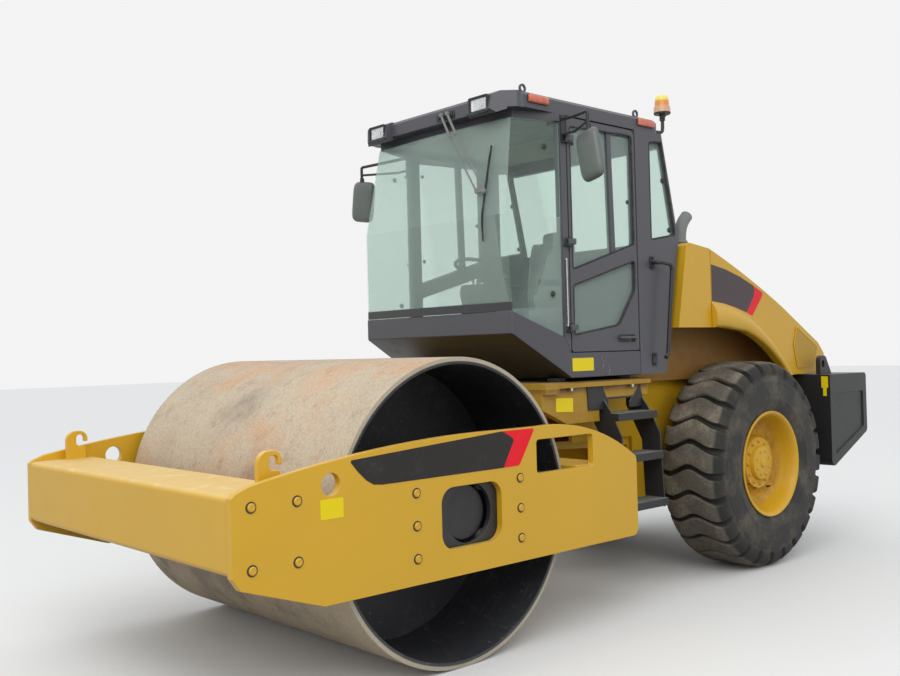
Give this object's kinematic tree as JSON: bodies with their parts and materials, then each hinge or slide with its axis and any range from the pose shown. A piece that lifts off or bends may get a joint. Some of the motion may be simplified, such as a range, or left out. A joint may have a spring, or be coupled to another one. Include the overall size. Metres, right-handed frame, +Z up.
{
  "type": "articulated single drum road roller",
  "caption": "Articulated road roller with one smooth drum in a plate frame, oscillating hitch, cab, tilting engine hood and pneumatic drive tyres.",
  "frame": {"origin": "on the ground, half way between the machine's front and rear, on its middle plane", "axes": "+X forward, +Y left, +Z up (ISO 8855)"},
  "size_m": [6.115, 2.45, 3.425],
  "materials": {
    "yellow_paint": "satin",
    "cab_grey": "satin",
    "black_paint": "satin",
    "glass": "clear, slightly green",
    "drum_steel": "worn bare steel with dirt",
    "tyre": "dusty",
    "rubber": "matt",
    "engine_paint": "matt",
    "seat_cloth": "woven",
    "lamp": "clear lens in black case",
    "amber": "gloss",
    "tail_lens": "red lens",
    "chrome_rod": "polished"
  },
  "bodies": {
    "rear_frame": {"rear_frame": "yellow_paint", "rear_axle": "yellow_paint", "counterweight": "black_paint", "engine": "engine_paint", "radiator": "black_paint", "bay_panels": "yellow_paint", "cab_deck": "yellow_paint", "cab_mounts": "rubber", "steps_left": "black_paint", "steps_right": "black_paint", "exhaust_stack": "black_paint", "cab_tub": "cab_grey", "cab_frame": "cab_grey", "cab_roof": "cab_grey", "windshield": "glass", "front_side_glass": "glass", "rear_glass": "glass", "door_hinges": "cab_grey", "seat": "seat_cloth", "console": "black_paint", "work_lamps": "lamp", "marker_lamps": "amber", "tail_lamps": "tail_lens", "beacon": "amber", "mirrors": "black_paint", "wiper": "black_paint", "grab_rails": "black_paint", "cowl": "yellow_paint"},
    "hitch": {"hitch": "yellow_paint"},
    "drum_frame": {"side_plate_left": "yellow_paint", "side_plate_right": "yellow_paint", "front_beam": "yellow_paint", "rear_crossmember": "yellow_paint", "scraper": "yellow_paint", "drum_mount_plates": "black_paint", "travel_motor_left": "black_paint", "travel_motor_right": "black_paint", "drum_buffers": "rubber"},
    "drum": {"drum": "drum_steel"},
    "wheel_left": {"tyre_left": "tyre", "rim_left": "yellow_paint"},
    "wheel_right": {"tyre_right": "tyre", "rim_right": "yellow_paint"},
    "door_left": {"door_left": "cab_grey", "door_glass_left": "glass"},
    "door_right": {"door_right": "cab_grey", "door_glass_right": "glass"},
    "hood": {"hood": "yellow_paint", "grilles": "black_paint"},
    "barrel_left": {"steering_barrel_left": "black_paint"},
    "barrel_right": {"steering_barrel_right": "black_paint"},
    "rod_left": {"steering_rod_left": "chrome_rod"},
    "rod_right": {"steering_rod_right": "chrome_rod"}
  },
  "joints": [
    {"name": "steering", "type": "hinge", "parent": "rear_frame", "child": "hitch", "pos_m": [0.0925, 0, 0.7], "axis": [0, 0, 1], "range_deg": [-33, 33]},
    {"name": "oscillation", "type": "hinge", "parent": "hitch", "child": "drum_frame", "pos_m": [0.0925, 0, 0.7], "axis": [1, 0, 0], "range_deg": [-10, 10]},
    {"name": "drum_spin", "type": "hinge", "parent": "drum_frame", "child": "drum", "pos_m": [1.6625, 0, 0.8], "axis": [0, 1, 0], "continuous": true},
    {"name": "wheel_left_spin", "type": "hinge", "parent": "rear_frame", "child": "wheel_left", "pos_m": [-1.4775, 0.793, 0.75], "axis": [0, 1, 0], "continuous": true},
    {"name": "wheel_right_spin", "type": "hinge", "parent": "rear_frame", "child": "wheel_right", "pos_m": [-1.4775, -0.793, 0.75], "axis": [0, 1, 0], "continuous": true},
    {"name": "door_left_hinge", "type": "hinge", "parent": "rear_frame", "child": "door_left", "pos_m": [0.3955, 0.772, 2.3], "axis": [0, 0, -1], "range_deg": [0, 90]},
    {"name": "door_right_hinge", "type": "hinge", "parent": "rear_frame", "child": "door_right", "pos_m": [0.3955, -0.772, 2.3], "axis": [0, 0, 1], "range_deg": [0, 90]},
    {"name": "hood_tilt", "type": "hinge", "parent": "rear_frame", "child": "hood", "pos_m": [-1.0895, 0, 2.345], "axis": [0, 1, 0], "range_deg": [0, 50]},
    {"name": "barrel_left_swing", "type": "hinge", "parent": "rear_frame", "child": "barrel_left", "pos_m": [-0.5075, 0.33, 0.7], "axis": [0, 0, 1], "range_deg": [-2.87, 2.87]},
    {"name": "rod_left_slide", "type": "slide", "parent": "barrel_left", "child": "rod_left", "axis": [0.9963, -0.0854, 0], "range_m": [-0.1544, 0.1544]},
    {"name": "barrel_right_swing", "type": "hinge", "parent": "rear_frame", "child": "barrel_right", "pos_m": [-0.5075, -0.33, 0.7], "axis": [0, 0, 1], "range_deg": [-2.87, 2.87]},
    {"name": "rod_right_slide", "type": "slide", "parent": "barrel_right", "child": "rod_right", "axis": [0.9963, 0.0854, 0], "range_m": [-0.1544, 0.1544]}
  ],
  "couplings": [
    {"joint": "barrel_left_swing", "follows": "steering", "ratio": 0.083974},
    {"joint": "rod_left_slide", "follows": "steering", "m_per_rad": -0.2663},
    {"joint": "barrel_right_swing", "follows": "steering", "ratio": 0.083974},
    {"joint": "rod_right_slide", "follows": "steering", "m_per_rad": 0.2663}
  ]
}
